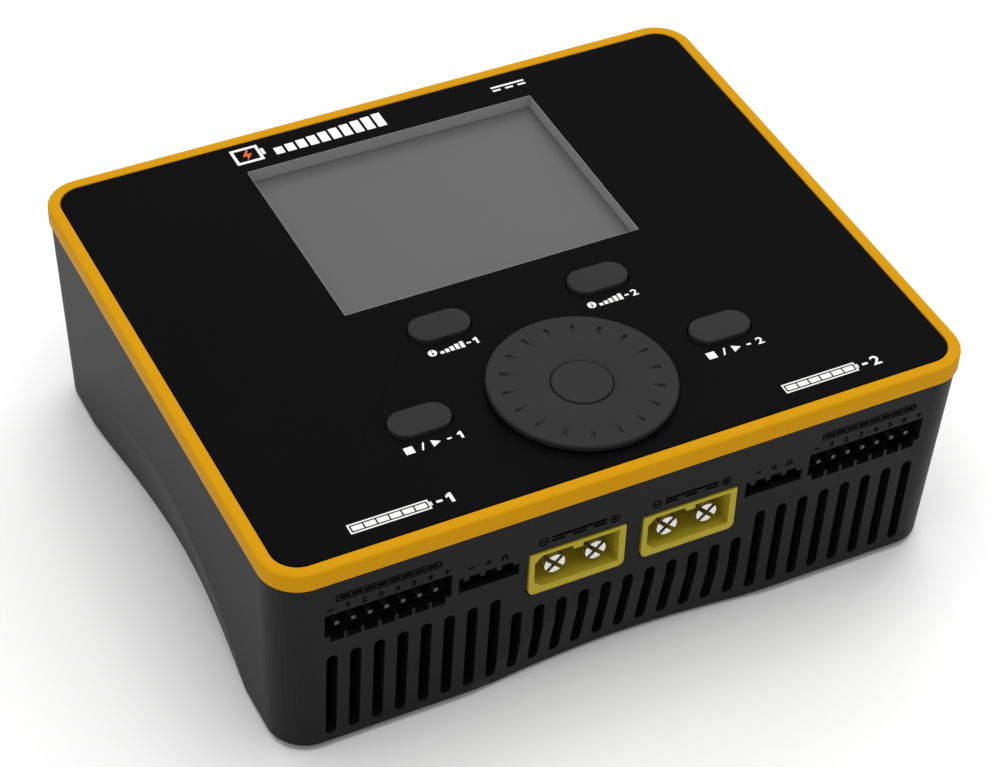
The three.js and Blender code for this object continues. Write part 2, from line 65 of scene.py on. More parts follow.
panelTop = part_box("top_panel")[1].z
rimLow, rimHigh = nodeBox("trim_rim")


def newMaterial(name):
    material = bpy.data.materials.new(name)
    material.use_nodes = True
    tree = material.node_tree
    return material, tree.nodes, tree.links, tree.nodes["Principled BSDF"]


def noiseNode(nodes, links, coords, size, detail=3.0, stretch=(1, 1, 1)):
    # noise whose features are about size metres wide, longer along the axes with a small stretch
    mapping = nodes.new("ShaderNodeMapping")
    mapping.inputs["Scale"].default_value = stretch
    noise = nodes.new("ShaderNodeTexNoise")
    noise.inputs["Scale"].default_value = 1 / size
    noise.inputs["Detail"].default_value = detail
    links.new(coords, mapping.inputs["Vector"])
    links.new(mapping.outputs["Vector"], noise.inputs["Vector"])
    return noise


def rangeNode(nodes, links, value, low, high):
    # the middle stretch of a noise value laid over low to high
    spread = nodes.new("ShaderNodeMapRange")
    spread.inputs["From Min"].default_value = 0.3
    spread.inputs["From Max"].default_value = 0.7
    spread.inputs["To Min"].default_value = low
    spread.inputs["To Max"].default_value = high
    links.new(value, spread.inputs["Value"])
    return spread.outputs["Result"]


def finish(name, color, roughness, spread=0.05, grain=0.25, depth=0.004, mottle=0.06, patch=9.0,
           metallic=0.0, specular=0.3, stretch=(1, 1, 1)):
    # one surface finish, sizes in millimetres: fine grain in bump and roughness, wider patches in colour
    material, nodes, links, shader = newMaterial(name)
    coords = nodes.new("ShaderNodeTexCoord").outputs["Object"]
    fine = noiseNode(nodes, links, coords, grain * mm, 4.0, stretch)
    wide = noiseNode(nodes, links, coords, patch * mm, 2.0, stretch)
    bump = nodes.new("ShaderNodeBump")
    bump.inputs["Strength"].default_value = 1.0
    bump.inputs["Distance"].default_value = depth * mm
    links.new(fine.outputs["Fac"], bump.inputs["Height"])
    links.new(bump.outputs["Normal"], shader.inputs["Normal"])
    links.new(rangeNode(nodes, links, fine.outputs["Fac"], roughness - spread, roughness + spread),
              shader.inputs["Roughness"])
    tint = nodes.new("ShaderNodeMix")
    tint.data_type = "RGBA"
    tint.inputs["A"].default_value = (*[c * (1 - mottle) for c in color], 1)
    tint.inputs["B"].default_value = (*[min(1, c * (1 + mottle)) for c in color], 1)
    links.new(wide.outputs["Fac"], tint.inputs["Factor"])
    links.new(tint.outputs["Result"], shader.inputs["Base Color"])
    shader.inputs["Metallic"].default_value = metallic
    shader.inputs["Specular IOR Level"].default_value = specular
    return material


board = {
    "mask": (0.0012, 0.0034, 0.0022),
    "maskPatch": (0.0016, 0.0042, 0.0027),
    "copperRun": (0.0026, 0.0066, 0.0042),
    "lattice": 9 * mm,
    "runWidth": 0.05,
    "raised": 0.03 * mm,
}


def boardFinish(name):
    # solder mask over copper runs: the joints of a brick lattice are the runs, slightly lighter and raised
    material, nodes, links, shader = newMaterial(name)
    coords = nodes.new("ShaderNodeTexCoord").outputs["Object"]
    runs = nodes.new("ShaderNodeTexBrick")
    runs.inputs["Scale"].default_value = 1 / board["lattice"]
    runs.inputs["Color1"].default_value = (*board["mask"], 1)
    runs.inputs["Color2"].default_value = (*board["maskPatch"], 1)
    runs.inputs["Mortar"].default_value = (*board["copperRun"], 1)
    runs.inputs["Mortar Size"].default_value = board["runWidth"]
    links.new(coords, runs.inputs["Vector"])
    links.new(runs.outputs["Color"], shader.inputs["Base Color"])
    bump = nodes.new("ShaderNodeBump")
    bump.inputs["Distance"].default_value = board["raised"]
    links.new(runs.outputs["Fac"], bump.inputs["Height"])
    links.new(bump.outputs["Normal"], shader.inputs["Normal"])
    fine = noiseNode(nodes, links, coords, 2 * mm)
    links.new(rangeNode(nodes, links, fine.outputs["Fac"], 0.28, 0.42), shader.inputs["Roughness"])
    return material


shellBlack = finish("shellBlack", (0.0056, 0.0055, 0.0054), 0.5, grain=0.16, depth=0.005, specular=0.12)
panelBlack = finish("panelBlack", (0.0036, 0.0036, 0.0036), 0.52, grain=0.2, depth=0.002, specular=0.012)
trimOrange = finish("trimOrange", (0.6, 0.286, 0.004), 0.5, grain=0.3, depth=0.003, mottle=0.03,
                    specular=0.02)
displayGrey = finish("displayGrey", (0.35, 0.35, 0.352), 0.55, grain=0.3, depth=0.002, mottle=0.03,
                     specular=0.1)
screenGrey = finish("screenGrey", (0.104, 0.104, 0.105), 0.35, grain=0.12, depth=0.0006, mottle=0.02,
                    patch=30, specular=0.12)
rubberBlack = finish("rubberBlack", (0.0215, 0.0215, 0.0215), 0.6, grain=0.14, depth=0.005, specular=0.11)
nylonYellow = finish("nylonYellow", (0.42, 0.335, 0.02), 0.45, grain=0.3, depth=0.006, specular=0.15)
nylonBlack = finish("nylonBlack", (0.004, 0.004, 0.004), 0.5, grain=0.2, depth=0.006, specular=0.1)
tinPlate = finish("tinPlate", (0.8, 0.79, 0.77), 0.26, spread=0.08, grain=0.5, depth=0.004, metallic=1)
tinDull = finish("tinDull", (0.1, 0.1, 0.098), 0.5, spread=0.08, grain=0.4, depth=0.006, metallic=1)
boardGreen = boardFinish("boardGreen")
aluminiumBare = finish("aluminiumBare", (0.62, 0.63, 0.65), 0.34, spread=0.1, grain=0.3, depth=0.006,
                       metallic=1, stretch=(1, 0.05, 1))
ferriteDark = finish("ferriteDark", (0.045, 0.047, 0.052), 0.75, grain=0.35, depth=0.03, mottle=0.2)
sleeveBlue = finish("sleeveBlue", (0.02, 0.032, 0.085), 0.3, grain=1.2, depth=0.01, specular=0.5)
zincSteel = finish("zincSteel", (0.09, 0.09, 0.095), 0.38, grain=0.4, depth=0.006, metallic=0.9)
printWhite = finish("printWhite", (0.86, 0.86, 0.85), 0.5, grain=0.1, depth=0.002, mottle=0.03,
                    specular=0.2)
printOrange = finish("printOrange", (0.7, 0.11, 0.02), 0.5, grain=0.1, depth=0.002, mottle=0.03,
                     specular=0.2)
markDark = finish("markDark", (0.0016, 0.0016, 0.0016), 0.85, grain=0.1, depth=0.004, specular=0.01)
print("materials ready")


def gridQuads(rows, columns, wrapRows=False, wrapColumns=False):
    # one quad for each pair of neighbouring rows and neighbouring columns, wrapped round where asked
    r, c = np.meshgrid(np.arange(rows if wrapRows else rows - 1),
                       np.arange(columns if wrapColumns else columns - 1), indexing="ij")
    rNext = (r + 1) % rows
    cNext = (c + 1) % columns
    corners = [r * columns + c, r * columns + cNext, rNext * columns + cNext, rNext * columns + c]
    return np.stack(corners, axis=-1).reshape(-1, 4)


def buildMesh(name, points, quads):
    # a closed mesh from a grid of points
    mesh = bpy.data.meshes.new(name)
    mesh.from_pydata(np.asarray(points, float).reshape(-1, 3), [], np.asarray(quads).tolist())
    closeSeams(mesh)
    return mesh


def closeSeams(mesh):
    # joins doubled points, drops what collapses at a pole, and turns the faces outward
    bm = bmesh.new()
    bm.from_mesh(mesh)
    bmesh.ops.remove_doubles(bm, verts=bm.verts, dist=1e-7)
    bmesh.ops.dissolve_degenerate(bm, edges=bm.edges, dist=1e-8)
    bmesh.ops.recalc_face_normals(bm, faces=bm.faces)
    bm.to_mesh(mesh)
    bm.free()


def meshPoints(mesh):
    points = np.empty(len(mesh.vertices) * 3)
    mesh.vertices.foreach_get("co", points)
    return points.reshape(-1, 3)


def joinMeshes(name, meshes):
    bm = bmesh.new()
    for mesh in meshes:
        bm.from_mesh(mesh)
    joined = bpy.data.meshes.new(name)
    bm.to_mesh(joined)
    bm.free()
    return joined


def addPiece(name, mesh, material, body, replaced=(), smooth=30):
    # a piece at the origin that rides on a body; edges under the smooth angle are shaded round
    mesh.shade_smooth()
    mesh.set_sharp_from_angle(angle=math.radians(smooth))
    mesh.materials.clear()
    mesh.materials.append(material)
    piece = bpy.data.objects.new(name, mesh)
    bpy.context.scene.collection.objects.link(piece)
    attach(piece, body)
    if replaced:
        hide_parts(*replaced)
    return piece


def softenEdges(piece, width, segments=2):
    # rounds the edges that carry a bevel weight
    bevel = piece.modifiers.new("edges", "BEVEL")
    bevel.width = width
    bevel.segments = segments
    bevel.limit_method = "WEIGHT"
    bevel.use_clamp_overlap = True
    bevel.miter_outer = "MITER_ARC"
    bevel.face_strength_mode = "FSTR_ALL"
    shading = piece.modifiers.new("shading", "WEIGHTED_NORMAL")
    shading.use_face_influence = True
    shading.keep_sharp = True
    shading.weight = 100


def cadCopy(node, name, material, bevel=0.12, smooth=30, crease=50, roundBeyond=None):
    # a merged copy of a CAD node: round faces under the smooth angle, edges over the crease angle bevelled
    mesh = frame["nodes"][node].data.copy()
    mesh.name = name
    bm = bmesh.new()
    bm.from_mesh(mesh)
    bmesh.ops.remove_doubles(bm, verts=bm.verts, dist=2e-6)
    bmesh.ops.dissolve_degenerate(bm, edges=bm.edges, dist=2e-6)
    weights = bm.edges.layers.float.new("bevel_weight_edge")
    for edge in bm.edges:
        angle = edge.calc_face_angle(0)
        edge[weights] = 1.0 if angle > math.radians(crease) else 0.0
    bm.to_mesh(mesh)
    bm.free()
    piece = addPiece(name, mesh, material, bodyOfNode[node], [node], smooth)
    if roundBeyond is not None:
        smoothSlotEnds(mesh, roundBeyond * mm, crease)
    softenEdges(piece, bevel * mm)


def smoothSlotEnds(mesh, beyond, crease):
    # the round ends of the slots run along Y through the front and back walls, beyond a distance from the
    # middle: their edges below the crease angle stay smooth
    bm = bmesh.new()
    bm.from_mesh(mesh)
    for edge in bm.edges:
        first, second = (vert.co for vert in edge.verts)
        through = abs((second - first).normalized().y) > 0.98 and min(abs(first.y), abs(second.y)) > beyond
        if through and edge.calc_face_angle(0) < math.radians(crease):
            edge.smooth = True
    bm.to_mesh(mesh)
    bm.free()


def latheMesh(name, profile, middle, segments):
    # (radius, height) points turned about a vertical axis: x and y are the middle plus radius times the
    # cosine and sine of the angle
    profile = np.array(profile, float)
    angle = np.linspace(0, 2 * math.pi, segments, endpoint=False)
    radius, height = profile[:, 0][:, None], profile[:, 1][:, None]
    points = np.stack([middle[0] + radius * np.cos(angle), middle[1] + radius * np.sin(angle),
                       height + 0 * angle], axis=-1)
    return buildMesh(name, points, gridQuads(len(profile), segments, wrapColumns=True))


def arcPoints(centre, radius, start, end, steps):
    # points on a circle from the start angle to the end angle, in degrees
    angle = np.radians(np.linspace(start, end, steps))
    return np.stack([centre[0] + radius * np.cos(angle), centre[1] + radius * np.sin(angle)], axis=-1)


def roundedPath(halfX, halfY, radius, steps):
    # closed rounded rectangle, a quarter circle at each corner: (x, y) points and their outward directions
    corners = []
    for sx, sy, start in ((1, 1, 0), (-1, 1, 90), (-1, -1, 180), (1, -1, 270)):
        centre = (sx * (halfX - radius), sy * (halfY - radius))
        corners.append(arcPoints(centre, radius, start, start + 90, steps))
    points = np.concatenate(corners)
    angle = np.radians(np.concatenate([np.linspace(s, s + 90, steps) for s in (0, 90, 180, 270)]))
    return points, np.stack([np.cos(angle), np.sin(angle)], axis=-1)


def sweepRect(name, halfX, halfY, radius, profile, steps, middle=(0, 0)):
    # a closed profile of (inset, z) carried round a rounded rectangle; a sharp corner keeps its mitre
    path, outward = roundedPath(halfX, halfY, radius, steps)
    profile = np.array(profile, float)
    inset, height = profile[:, 0][:, None], profile[:, 1][:, None]
    points = np.stack([middle[0] + path[:, 0] - inset * outward[:, 0],
                       middle[1] + path[:, 1] - inset * outward[:, 1], height + 0 * path[:, 0]], axis=-1)
    return buildMesh(name, points, gridQuads(len(profile), len(path), wrapRows=True, wrapColumns=True))


view = {
    "place": (-0.15662, -0.29377, 0.31995),
    "right": (0.89483, -0.44506, 0.03574),
    "up": (0.27730, 0.61658, 0.73684),
    "lens": 105.23,
}


def makeCamera():
    # right and up made square to each other; the camera looks against back
    camera = bpy.data.objects.new("camera", bpy.data.cameras.new("camera"))
    bpy.context.scene.collection.objects.link(camera)
    right = np.array(view["right"])
    right /= np.linalg.norm(right)
    back = np.cross(right, view["up"])
    back /= np.linalg.norm(back)
    up = np.cross(back, right)
    turn = Matrix([right, up, back]).transposed().to_4x4()
    camera.matrix_world = Matrix.Translation(view["place"]) @ turn
    camera.data.lens = view["lens"]
    camera.data.clip_start = 0.01
    bpy.context.scene.camera = camera


studio = {
    "floorSize": 6.0,
    "floorColor": (0.96, 0.96, 0.96),
    "worldColor": (1.0, 1.0, 1.0),
    "worldStrength": 0.6,
    "key": {"place": (0.9, 1.0, 1.3), "size": 1.5, "power": 9.5},
    "top": {"place": (-0.1, 0.0, 2.0), "size": 1.8, "power": 20},
}


def areaLight(name, place, size, power):
    # a round soft light that faces the origin
    light = bpy.data.lights.new(name, "AREA")
    light.shape = "DISK"
    light.size = size
    light.energy = power
    lamp = bpy.data.objects.new(name, light)
    lamp.location = place
    aim = -lamp.location.normalized()
    lamp.rotation_euler = aim.to_track_quat("-Z", "Y").to_euler()
    bpy.context.scene.collection.objects.link(lamp)


def makeStudio():
    half = studio["floorSize"] / 2
    corners = [(-half, -half, 0), (half, -half, 0), (half, half, 0), (-half, half, 0)]
    mesh = bpy.data.meshes.new("floor")
    mesh.from_pydata(corners, [], [(0, 1, 2, 3)])
    mesh.materials.append(finish("floorPale", studio["floorColor"], 0.8, grain=3, depth=0.01, mottle=0.004,
                                 patch=200, specular=0.1))
    floor = bpy.data.objects.new("floor", mesh)
    bpy.context.scene.collection.objects.link(floor)
    world = bpy.data.worlds.new("softRoom")
    world.use_nodes = True
    world.node_tree.nodes["Background"].inputs["Color"].default_value = (*studio["worldColor"], 1)
    world.node_tree.nodes["Background"].inputs["Strength"].default_value = studio["worldStrength"]
    bpy.context.scene.world = world
    areaLight("keyLight", **studio["key"])
    areaLight("topLight", **studio["top"])
    bpy.context.scene.view_settings.view_transform = "Standard"


makeCamera()
makeStudio()
print("camera and studio ready")

# housing: angles in degrees, lengths in millimetres
housing = {"bevel": 0.14, "facet": 7.9, "crease": 50, "slotsBeyond": 36}
cadCopy("lower_housing", "lowerHousing", shellBlack, housing["bevel"], housing["facet"],
        housing["crease"], housing["slotsBeyond"])
print("housing ready")

rim = {"band": 1.92 * mm, "radius": 6 * mm, "fillet": 0.42 * mm, "underFillet": 0.21 * mm,
       "inner": 0.16 * mm, "ledge": 2 * mm, "ledgeDrop": 1.9 * mm, "cornerSteps": 20}


def makeRim():
    # profile carried round the rounded rectangle: quarter circle under, upright outer face, quarter circle
    # over, flat top, small inner edge, then down to the hidden ledge and back along the underside
    low, high = rimLow[2], rimHigh[2]
    fillet, under, inner, band = rim["fillet"], rim["underFillet"], rim["inner"], rim["band"]
    ledgeTop = panelTop - rim["ledgeDrop"]
    fine, coarse = np.radians(range(0, 91, 15)), np.radians(range(0, 91, 30))
    profile = [(under * (1 - math.cos(a)), low + under * (1 - math.sin(a))) for a in coarse[::-1]]
    profile += [(fillet * (1 - math.cos(a)), high - fillet * (1 - math.sin(a))) for a in fine]
    profile += [(band - inner * (1 - math.sin(a)), high - inner * (1 - math.cos(a))) for a in coarse]
    profile += [(band, ledgeTop), (band + rim["ledge"], ledgeTop), (band + rim["ledge"], low)]
    mesh = sweepRect("trimRim", rimHigh[0], rimHigh[1], rim["radius"], profile, rim["cornerSteps"])
    addPiece("trimRim", mesh, trimOrange, "root", ["trim_rim"], smooth=40)


makeRim()

panel = {"bevel": 0.1, "facet": 20}
cadCopy("top_panel", "topPanel", panelBlack, panel["bevel"], panel["facet"])
print("rim and panel ready")

display = {"edge": 0.06 * mm, "lining": 0.48 * mm, "lip": 0.02 * mm, "flange": 2 * mm,
           "flangeHeight": 0.8 * mm, "seatDrop": 0.1 * mm, "outerCorner": 0.02 * mm, "play": 0.01 * mm,
           "corner": 0.2 * mm, "rounding": 0.08 * mm}


def makeDisplay():
    # lining: its outer face meets the panel, its inner face stands upright under a thin edge
    low, high = nodeBox("display_bezel")
    glassLow, glassHigh = nodeBox("display_glass")
    middle = (low + high) / 2
    halfX = (high[0] - low[0]) / 2 - display["flange"]
    halfY = (high[1] - low[1]) / 2 - display["flange"]
    edge, lip, step = display["edge"], display["lip"], low[2] + display["flangeHeight"]
    seat = glassLow[2] - display["seatDrop"]
    profile = [(-display["flange"], low[2]), (-display["flange"], step), (0, step), (0, high[2] - lip),
               (lip, high[2]), (edge - lip, high[2]), (edge, high[2] - lip), (edge, seat),
               (display["lining"], seat), (display["lining"], low[2])]
    mesh = sweepRect("displayBezel", halfX, halfY, display["outerCorner"], profile, 3, middle[:2])
    addPiece("displayBezel", mesh, displayGrey, "root", ["display_bezel"])
    # face: rounded rectangles one inside the other, flat out to the lining, the edge barely rounded
    halfX -= edge + display["play"]
    halfY -= edge + display["play"]
    path, outward = roundedPath(halfX, halfY, display["corner"], 4)
    rounding = display["rounding"]
    turn = np.radians([0, 30, 60, 90])
    face = np.column_stack([rounding * (1 - np.cos(turn)), glassHigh[2] - rounding * (1 - np.sin(turn))])
    face = np.concatenate([[(0, glassLow[2])], face, [(rounding + 0.1 * mm, glassHigh[2])]])
    rows = [np.column_stack([path - inset * outward + middle[:2], np.full(len(path), z)])
            for inset, z in face]
    rows.append(np.tile([middle[0], middle[1], glassHigh[2]], (len(path), 1)))
    rows.insert(0, np.tile([middle[0], middle[1], glassLow[2]], (len(path), 1)))
    mesh = buildMesh("displayGlass", np.array(rows), gridQuads(len(rows), len(path), wrapColumns=True))
    addPiece("displayGlass", mesh, screenGrey, "root", ["display_glass"])


makeDisplay()
print("display ready")

button = {"length": 9.6 * mm, "width": 5.4 * mm, "crown": 0.1 * mm, "fillet": 0.2 * mm, "flange": 1 * mm,
          "flangeHeight": 1 * mm, "endSteps": 33}


def makeButton(node, name):
    # rings at a growing distance from a short middle line: top crowned as the square of that distance,
    # rolled edge, upright wall, flange under the panel
    low, high = nodeBox(node)
    middle = (low + high) / 2
    radius = button["width"] / 2
    reach = button["length"] / 2 - radius
    fillet = button["fillet"]
    inner = radius - fillet
    top = high[2] - button["crown"]
    rings = [(inner * t, high[2] - button["crown"] * t * t) for t in np.linspace(0, 1, 12)]
    rings += [(inner + fillet * math.sin(a), top - fillet * (1 - math.cos(a)))
              for a in np.radians(range(15, 91, 15))]
    outer = radius + button["flange"]
    flangeTop = low[2] + button["flangeHeight"]
    rings += [(radius, flangeTop), (outer, flangeTop), (outer, low[2]), (0, low[2])]
    rings = np.array(rings)
    angle = np.linspace(-math.pi / 2, math.pi / 2, button["endSteps"])
    angle = np.concatenate([angle, angle + math.pi])
    offset = np.where(np.arange(len(angle)) < button["endSteps"], reach, -reach)
    x = middle[0] + offset + rings[:, 0][:, None] * np.cos(angle)
    y = middle[1] + rings[:, 0][:, None] * np.sin(angle)
    z = rings[:, 1][:, None] + 0 * angle
    mesh = buildMesh(name, np.stack([x, y, z], axis=-1), gridQuads(len(rings), len(angle), wrapColumns=True))
    addPiece(name, mesh, rubberBlack, bodyOfNode[node], [node], smooth=40)


for side in sides:
    makeButton(f"status_{side}_button", f"statusButton.{side}")
    makeButton(f"run_{side}_button", f"runButton.{side}")
print("buttons ready")

dial = {"radius": 13.9 * mm, "edge": 0.35 * mm, "dishRadius": 9.6 * mm, "dish": 0.5 * mm, "bore": 4.6 * mm,
        "hub": 6 * mm, "lift": 0.35 * mm, "ticks": 18, "tickInner": 9.55 * mm, "tickOuter": 11.9 * mm,
        "tickNarrow": 0.18 * mm, "tickWide": 0.37 * mm, "tickDepth": 0.38 * mm, "tickSide": 0.14 * mm,
        "tickEnd": 0.15 * mm, "columns": 900}


def easeStep(value, soft):
    # 0 below zero, 1 above the soft margin, smooth between
    t = np.clip(value / soft, 0, 1)
    return t * t * (3 - 2 * t)


def makeDial():
    # profile turned about the dial's axis: inside the dish radius the face dips towards the cap, as the
    # square of the distance
    low, high = nodeBox("dial")
    middle = (low + high) / 2
    top = high[2]
    under = panelTop + dial["lift"]
    edge = dial["edge"]
    outer = np.linspace(dial["radius"] - edge, dial["tickOuter"] + 0.25 * mm, 7)
    fine = np.linspace(dial["tickOuter"] + 0.2 * mm, dial["tickInner"] - 0.1 * mm, 40)
    inner = np.linspace(dial["tickInner"] - 0.3 * mm, dial["bore"] + 0.12 * mm, 22)
    radii = np.concatenate([outer, fine, inner])
    dip = np.clip((dial["dishRadius"] - radii) / (dial["dishRadius"] - dial["bore"]), 0, 1)
    face = np.column_stack([radii, top - dial["dish"] * dip ** 2])
    dishTop = top - dial["dish"]
    turn = np.radians(np.arange(0, 90, 15))
    rim = np.column_stack([dial["radius"] - edge * (1 - np.cos(turn)), top - edge * (1 - np.sin(turn))])
    lower = [(dial["hub"], low[2]), (dial["hub"], under), (dial["radius"] - 0.3 * mm, under),
             (dial["radius"] - 0.08 * mm, under + 0.08 * mm), (dial["radius"], under + 0.3 * mm)]
    bore = [(dial["bore"] + 0.03 * mm, dishTop - 0.03 * mm), (dial["bore"], dishTop - 0.12 * mm),
            (dial["bore"], low[2])]
    profile = np.concatenate([lower, rim, face, bore])
    angle = np.linspace(0, 2 * math.pi, dial["columns"], endpoint=False)
    radius = profile[:, 0][:, None] + 0 * angle
    height = profile[:, 1][:, None] + 0 * angle
    # hollows: repeated by wrapping the angle, wider and deeper outwards, ending in a steep wall; aside is
    # the distance along the circle from the nearest hollow's middle line
    pitch = 2 * math.pi / dial["ticks"]
    aside = np.abs(np.mod(angle - math.pi / 2 + pitch / 2, pitch) - pitch / 2) * radius
    along = np.clip((radius - dial["tickInner"]) / (dial["tickOuter"] - dial["tickInner"]), 0, 1)
    half = dial["tickNarrow"] + (dial["tickWide"] - dial["tickNarrow"]) * along
    across = easeStep(half - aside, dial["tickSide"])
    stop = easeStep(dial["tickOuter"] - radius, dial["tickEnd"])
    height = height - dial["tickDepth"] * along * across * stop * (height > under + edge)
    points = np.stack([middle[0] + radius * np.cos(angle), middle[1] + radius * np.sin(angle), height],
                      axis=-1)
    mesh = buildMesh("dial", points, gridQuads(len(profile), len(angle), wrapRows=True, wrapColumns=True))
    addPiece("dialRing", mesh, rubberBlack, "dial", ["dial"], smooth=50)


makeDial()

cap = {"radius": 4.5 * mm, "fillet": 0.22 * mm, "stem": 2.4 * mm, "skirt": 1.2 * mm}


def makeDialButton():
    # profile turned about the dial's axis: flat cap with a rolled edge, short skirt, narrow stem
    low, high = nodeBox("dial_button")
    middle = (low + high) / 2
    fillet, radius = cap["fillet"], cap["radius"]
    under = panelTop - cap["skirt"]
    profile = [(0, high[2]), (radius * 0.5, high[2]), (radius - fillet * 1.6, high[2])]
    profile += [(radius - fillet * (1 - math.sin(a)), high[2] - fillet * (1 - math.cos(a)))
                for a in np.radians(range(0, 91, 15))]
    profile += [(radius, under), (cap["stem"], under), (cap["stem"], low[2]), (0, low[2])]
    mesh = latheMesh("dialButton", profile, middle, 128)
    addPiece("dialButton", mesh, rubberBlack, "dial_button", ["dial_button"], smooth=40)


makeDialButton()
print("dial ready")

# bevel widths of the connectors, in millimetres
connector = {"socket": 0.12, "roundPin": 0.2, "header": 0.1, "squarePin": 0.12}
for node in ("output_socket_left", "output_socket_right", "input_socket"):
    cadCopy(node, node, nylonYellow, connector["socket"])
for pole in ("minus", "plus"):
    cadCopy(f"input_pin_{pole}", f"inputPin.{pole}", tinPlate, connector["roundPin"])
    for side in sides:
        cadCopy(f"output_pin_{pole}_{side}", f"outputPin.{pole}.{side}", tinPlate,
                connector["roundPin"])
for port in ("balance", "sensor"):
    for side in sides:
        cadCopy(f"{port}_header_{side}", f"{port}Header.{side}", nylonBlack,
                connector["header"])
        cadCopy(f"{port}_pins_{side}", f"{port}Pins.{side}", tinDull, connector["squarePin"])
print("sockets ready")

foot = {"radius": 4 * mm, "fillet": 0.3 * mm}


def makeFoot(node):
    # profile turned about the foot's axis: flat disc whose lower edge is a quarter circle
    low, high = nodeBox(node)
    middle = (low + high) / 2
    radius, fillet = foot["radius"], foot["fillet"]
    profile = [(0, high[2]), (radius, high[2])]
    profile += [(radius - fillet * (1 - math.cos(a)), low[2] + fillet * (1 - math.sin(a)))
                for a in np.radians(range(0, 91, 15))]
    profile += [(radius * 0.5, low[2]), (0, low[2])]
    mesh = latheMesh(node, profile, middle, 64)
    addPiece(node, mesh, rubberBlack, "root", [node], smooth=40)


for side in sides:
    for end in ("front", "back"):
        makeFoot(f"foot_{end}_{side}")
        cadCopy(f"case_screw_{end}_{side}", f"caseScrew.{end}.{side}", zincSteel, 0.1)
print("feet and screws ready")

inside = {
    "main_board": (boardGreen, "board_green"), "control_board": (boardGreen, "board_green"),
    "board_link": (nylonBlack, "nylon_black"), "buzzer": (nylonBlack, "nylon_black"),
    "display_module": (nylonBlack, "nylon_black"), "dial_encoder": (nylonBlack, "nylon_black"),
    "dial_switch": (tinPlate, "tin_plate"), "heat_sink": (aluminiumBare, "aluminium_bare"),
}
for side in sides:
    inside[f"inductor_{side}"] = (ferriteDark, "ferrite_dark")
    inside[f"capacitor_{side}"] = (sleeveBlue, "sleeve_blue")
    inside[f"status_{side}_switch"] = (nylonBlack, "nylon_black")
    inside[f"run_{side}_switch"] = (nylonBlack, "nylon_black")
    inside[f"fan_frame_{side}"] = (nylonBlack, "nylon_black")
for node, (material, slot) in inside.items():
    cadCopy(node, node + ".part", material)
print("inside ready")

rotor = {"hub": 5.5 * mm, "rounding": 0.6 * mm, "sunk": 0.4 * mm, "tip": 11.2 * mm, "blades": 7,
         "chordHub": 5.4 * mm, "chordTip": 7.6 * mm, "pitchHub": 50, "pitchTip": 30, "camber": 0.5 * mm,
         "thick": 0.8 * mm}


def rotorHub(middle, front, back):
    # a drum with both edges rolled, turned about a vertical axis and then laid along Y
    outer, rounding = rotor["hub"], rotor["rounding"]
    turn = np.radians(np.arange(0, 91, 15))
    profile = [(0, front), (outer * 0.6, front)]
    profile += [(outer - rounding * (1 - math.sin(a)), front + rounding * (1 - math.cos(a))) for a in turn]
    profile += [(outer - rounding * (1 - math.cos(a)), back - rounding * (1 - math.sin(a))) for a in turn]
    profile += [(outer * 0.6, back), (0, back)]
    hub = latheMesh("hub", profile, (0, 0), 64)
    points = meshPoints(hub)
    points = np.column_stack([middle[0] + points[:, 0], points[:, 2], middle[2] + points[:, 1]])
    hub.vertices.foreach_set("co", points.ravel())
    closeSeams(hub)
    return hub


def makeRotor(side):
    # a blade's section is a long ellipse along the chord, bowed by the camber; it grows and flattens towards
    # the tip, and its length along the circle over the radius is the angle it takes
    low, high = nodeBox(f"fan_rotor_{side}")
    middle = (low + high) / 2
    span = np.linspace(0, 1, 14)[:, None]
    turn = np.linspace(0, 2 * math.pi, 36, endpoint=False)[None, :]
    root = rotor["hub"] - rotor["sunk"]
    radius = root + span * (rotor["tip"] - root)
    chord = rotor["chordHub"] + span * (rotor["chordTip"] - rotor["chordHub"])
    pitch = np.radians(rotor["pitchHub"] + span * (rotor["pitchTip"] - rotor["pitchHub"]))
    along = chord * np.cos(turn) / 2
    aside = rotor["thick"] * np.sin(turn) / 2 + rotor["camber"] * np.sin(turn) ** 2
    around = (along * np.cos(pitch) - aside * np.sin(pitch)) / radius
    depth = middle[1] + along * np.sin(pitch) + aside * np.cos(pitch)
    meshes = []
    for blade in range(rotor["blades"]):
        angle = around + blade * 2 * math.pi / rotor["blades"]
        points = np.stack([middle[0] + radius * np.sin(angle), depth, middle[2] + radius * np.cos(angle)],
                          axis=-1)
        points = np.concatenate([points[:1].mean(axis=1, keepdims=True) + 0 * points[:1], points,
                                 points[-1:].mean(axis=1, keepdims=True) + 0 * points[-1:]])
        meshes.append(buildMesh("blade", points, gridQuads(len(points), points.shape[1], wrapColumns=True)))
    meshes.append(rotorHub(middle, low[1], high[1]))
    mesh = joinMeshes(f"fanRotor.{side}", meshes)
    node = f"fan_rotor_{side}"
    addPiece(f"fanRotor.{side}", mesh, nylonBlack, node, [node], smooth=50)


for side in sides:
    makeRotor(side)
print("fan rotors ready")

# marks: a glyph is a list of closed outlines one unit high, and an outline inside another is a hole


def bar(x, y, width, height):
    return np.array([(x, y), (x + width, y), (x + width, y + height), (x, y + height)])


def circle(x, y, radius, steps=32):
    angle = np.linspace(0, 2 * math.pi, steps, endpoint=False)
    return np.stack([x + radius * np.cos(angle), y + radius * np.sin(angle)], axis=-1)


